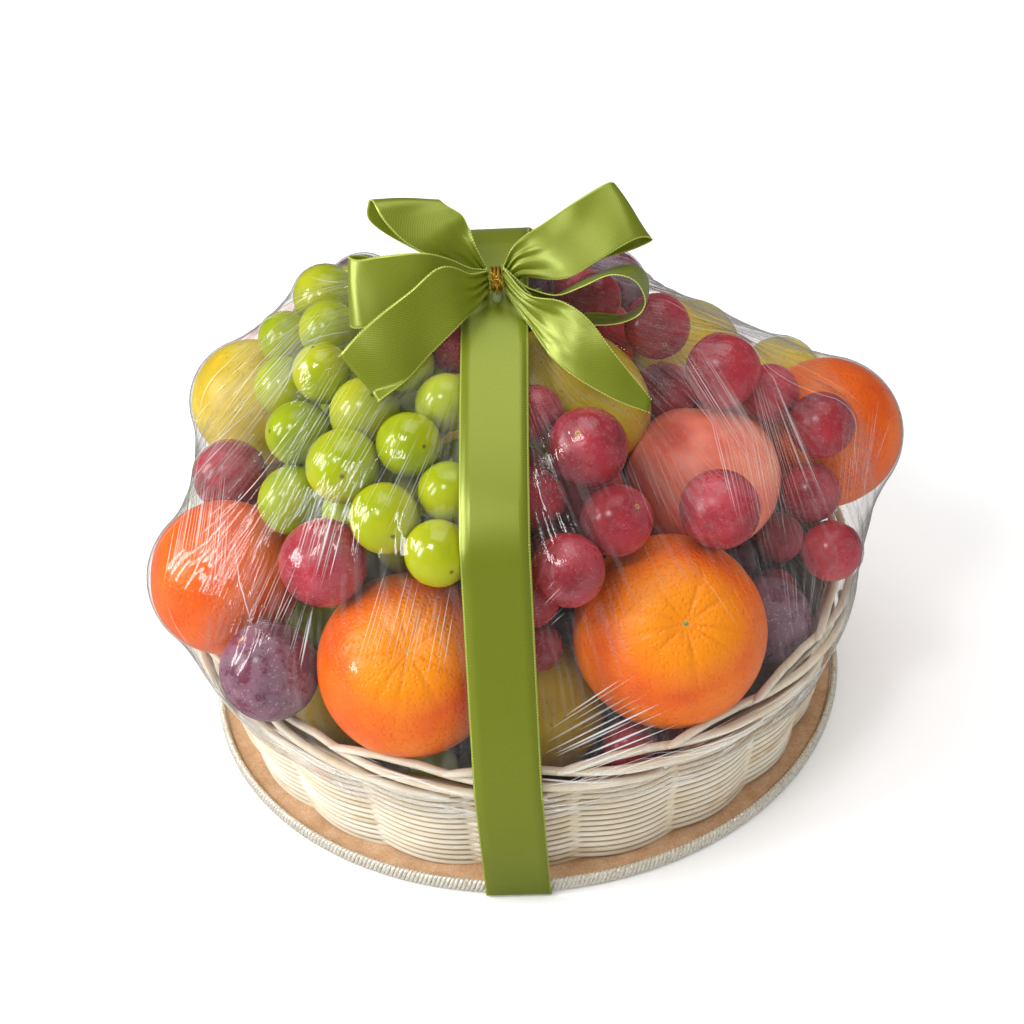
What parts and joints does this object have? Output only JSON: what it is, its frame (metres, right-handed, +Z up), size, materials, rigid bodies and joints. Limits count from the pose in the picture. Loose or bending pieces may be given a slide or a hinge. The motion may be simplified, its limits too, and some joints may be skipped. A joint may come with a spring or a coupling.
{
  "type": "fruit gift basket",
  "caption": "Low round reed basket heaped with fruit under clear film, on a thin round board with a braided edge, tied all round with a satin ribbon and a bow",
  "frame": {"origin": "middle of the underside, on the surface that the basket stands on; the ribbon crosses it under the board", "axes": "+Z up; -Y is the front, where the ribbon runs down from the bow; +X is to the right seen from the front"},
  "size_m": [0.3025, 0.2836, 0.2265],
  "materials": {
    "board": "matt",
    "braid": "metallic thread",
    "reed": "peeled, unvarnished",
    "wrapped_fruit": "fruit under clear film",
    "satin": "satin",
    "gold_wire": "bright"
  },
  "bodies": {
    "root": {"base_board": "board", "board_trim": "braid", "basket": "reed", "basket_border": "reed", "wrapped_fruit": "wrapped_fruit", "ribbon_band": "satin", "bow_loop_left_upper": "satin", "bow_loop_left_lower": "satin", "bow_loop_right_upper": "satin", "bow_loop_right_lower": "satin", "bow_tail_left": "satin", "bow_tail_right": "satin", "bow_tie": "gold_wire"}
  },
  "joints": []
}
